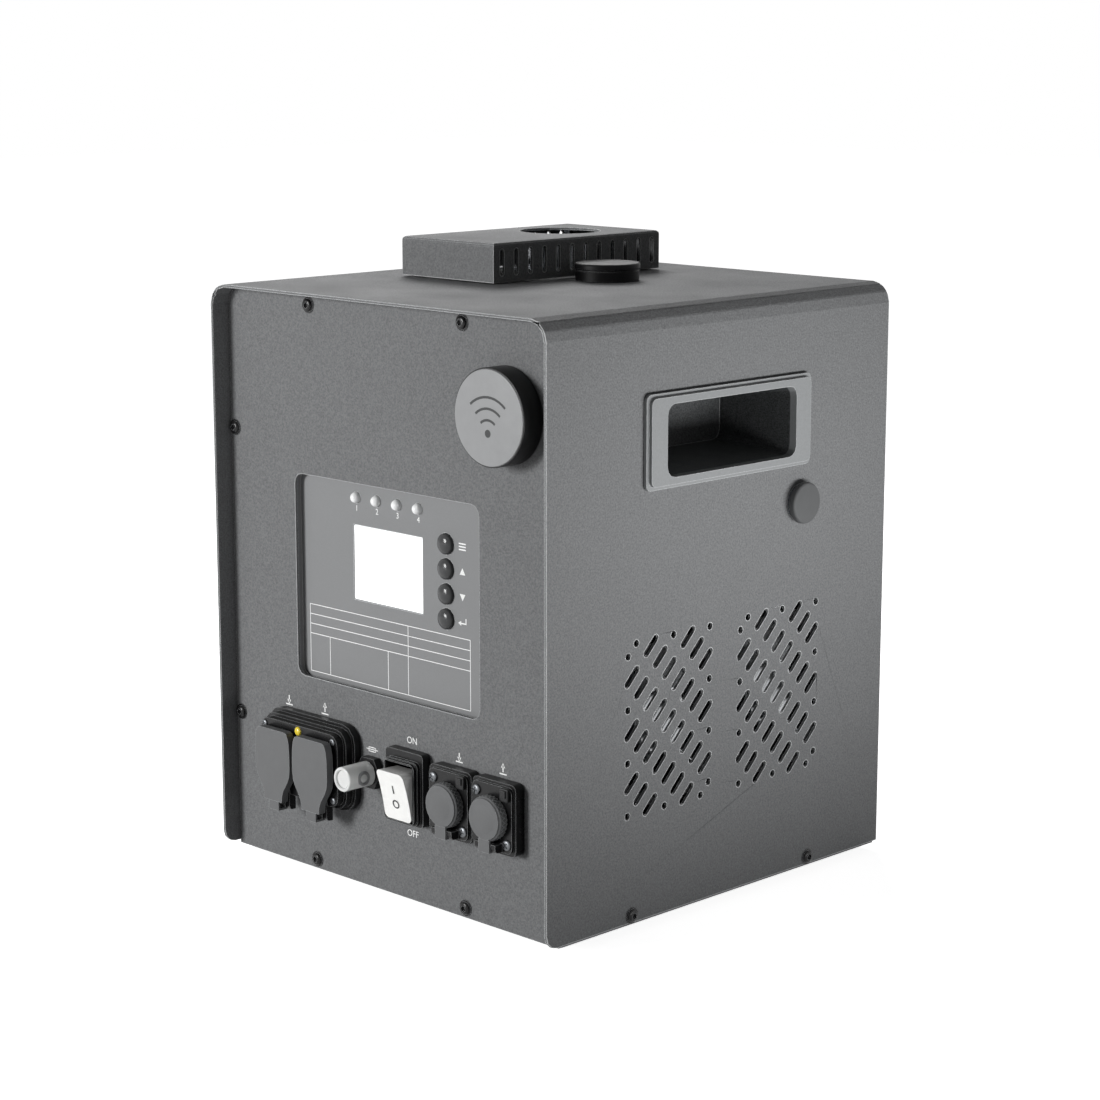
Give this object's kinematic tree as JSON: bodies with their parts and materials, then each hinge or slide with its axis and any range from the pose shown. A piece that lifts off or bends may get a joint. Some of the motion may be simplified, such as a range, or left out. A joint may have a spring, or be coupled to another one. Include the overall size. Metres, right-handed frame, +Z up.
{
  "type": "cold spark machine",
  "caption": "Stage spark fountain machine: folded sheet steel case with recessed control panel, hopper, auger feed, heated chamber and blower inside.",
  "frame": {"origin": "on the ground, under the middle of the whole object", "axes": "front panel looks towards -Y, +X is the right-hand wall with the drain plug, +Z up"},
  "size_m": [0.241, 0.249, 0.3092],
  "materials": {
    "powder_coat": "fine textured powder coat, charcoal",
    "printed_plate": "satin",
    "galvanised": "dull zinc",
    "steel": "polished stainless",
    "aluminium": "bright",
    "black_plastic": "fine grain",
    "grey_plastic": "matt",
    "white_plastic": "satin gloss",
    "clear_plastic": "translucent",
    "yellow_lens": "translucent",
    "lit_screen": "lit display window",
    "black_rubber": "matt",
    "grey_rubber": "matt",
    "circuit_board": "solder mask",
    "ceramic_wool": "pressed ceramic fibre",
    "coil_wire": "heat-tinted wire"
  },
  "bodies": {
    "case": {"shell_cover": "powder_coat", "front_frame": "galvanised", "front_panel": "powder_coat", "rear_panel": "powder_coat", "base_pan": "powder_coat", "foot_1": "black_rubber", "foot_2": "black_rubber", "foot_3": "black_rubber", "foot_4": "black_rubber", "handle_right": "black_plastic", "handle_left": "black_plastic", "drain_socket": "steel", "fan_frame_1": "black_plastic", "fan_frame_2": "black_plastic", "outlet_cover": "powder_coat", "cover_post_1": "steel", "cover_post_2": "steel", "cover_post_3": "steel", "outlet_tube": "steel", "heating_chamber": "steel", "heater_coil": "coil_wire", "insulation_jacket": "ceramic_wool", "filler_neck": "steel", "hopper": "galvanised", "auger_tube": "steel", "feed_motor": "galvanised", "blower_housing": "black_plastic", "power_supply": "aluminium", "main_board": "circuit_board", "control_plate": "printed_plate", "display": "lit_screen", "control_board": "circuit_board", "lamp_1": "clear_plastic", "lamp_2": "clear_plastic", "lamp_3": "clear_plastic", "lamp_4": "clear_plastic", "reader_disc": "grey_plastic", "mains_housing": "black_plastic", "mains_pilot_lamp": "yellow_lens", "fuse_holder": "black_plastic", "switch_frame": "black_plastic", "signal_socket_1": "black_plastic", "signal_socket_2": "black_plastic"},
    "plug": {"drain_plug": "black_plastic"},
    "fan_1": {"fan_rotor_1": "aluminium"},
    "fan_2": {"fan_rotor_2": "aluminium"},
    "cap": {"filler_cap": "black_plastic"},
    "feed_screw": {"auger": "steel"},
    "impeller": {"blower_impeller": "aluminium"},
    "key_1": {"button_1": "black_plastic"},
    "key_2": {"button_2": "black_plastic"},
    "key_3": {"button_3": "black_plastic"},
    "key_4": {"button_4": "black_plastic"},
    "mains_cover_in": {"mains_flap_in": "grey_plastic"},
    "mains_cover_out": {"mains_flap_out": "grey_plastic"},
    "fuse": {"fuse_link": "clear_plastic"},
    "fuse_knob": {"fuse_cap": "clear_plastic"},
    "switch_rocker": {"rocker": "white_plastic"},
    "signal_cover_1": {"signal_cap_1": "grey_rubber"},
    "signal_cover_2": {"signal_cap_2": "grey_rubber"}
  },
  "joints": [
    {"name": "drain_plug_pull", "type": "slide", "parent": "case", "child": "plug", "axis": [1, 0, 0], "range_m": [0, 0.02]},
    {"name": "fan_1_spin", "type": "hinge", "parent": "case", "child": "fan_1", "pos_m": [0.09925, -0.0332, 0.0967], "axis": [1, 0, 0], "continuous": true},
    {"name": "fan_2_spin", "type": "hinge", "parent": "case", "child": "fan_2", "pos_m": [0.09925, 0.0443, 0.0967], "axis": [1, 0, 0], "continuous": true},
    {"name": "filler_cap_lift", "type": "slide", "parent": "case", "child": "cap", "axis": [0, 0, 1], "range_m": [0, 0.03]},
    {"name": "auger_turn", "type": "hinge", "parent": "case", "child": "feed_screw", "pos_m": [-0.04375, 0.05555, 0.185], "axis": [0.9273, -0.3743, 0], "continuous": true},
    {"name": "impeller_spin", "type": "hinge", "parent": "case", "child": "impeller", "pos_m": [-0.06975, 0.05555, 0.0485], "axis": [0, 1, 0], "continuous": true},
    {"name": "button_1_press", "type": "slide", "parent": "case", "child": "key_1", "axis": [0, 1, 0], "range_m": [0, 0.001], "stiffness_N_per_m": 200},
    {"name": "button_2_press", "type": "slide", "parent": "case", "child": "key_2", "axis": [0, 1, 0], "range_m": [0, 0.001], "stiffness_N_per_m": 200},
    {"name": "button_3_press", "type": "slide", "parent": "case", "child": "key_3", "axis": [0, 1, 0], "range_m": [0, 0.001], "stiffness_N_per_m": 200},
    {"name": "button_4_press", "type": "slide", "parent": "case", "child": "key_4", "axis": [0, 1, 0], "range_m": [0, 0.001], "stiffness_N_per_m": 200},
    {"name": "mains_flap_in_hinge", "type": "hinge", "parent": "case", "child": "mains_cover_in", "pos_m": [-0.06645, -0.11475, 0.0365], "axis": [1, 0, 0], "range_deg": [0, 100]},
    {"name": "mains_flap_out_hinge", "type": "hinge", "parent": "case", "child": "mains_cover_out", "pos_m": [-0.03845, -0.11475, 0.0365], "axis": [1, 0, 0], "range_deg": [0, 100]},
    {"name": "fuse_pull", "type": "slide", "parent": "case", "child": "fuse", "axis": [0, -1, 0], "range_m": [0, 0.026]},
    {"name": "fuse_cap_turn", "type": "hinge", "parent": "fuse", "child": "fuse_knob", "pos_m": [-0.01105, -0.10945, 0.0613], "axis": [0, 1, 0], "range_deg": [0, 60]},
    {"name": "rocker_tip", "type": "hinge", "parent": "case", "child": "switch_rocker", "pos_m": [0.01625, -0.11025, 0.0584], "axis": [1, 0, 0], "range_deg": [-27.2, 0]},
    {"name": "signal_cap_1_hinge", "type": "hinge", "parent": "case", "child": "signal_cover_1", "pos_m": [0.04875, -0.11385, 0.0458], "axis": [1, 0, 0], "range_deg": [0, 90]},
    {"name": "signal_cap_2_hinge", "type": "hinge", "parent": "case", "child": "signal_cover_2", "pos_m": [0.07785, -0.11385, 0.0458], "axis": [1, 0, 0], "range_deg": [0, 90]}
  ]
}
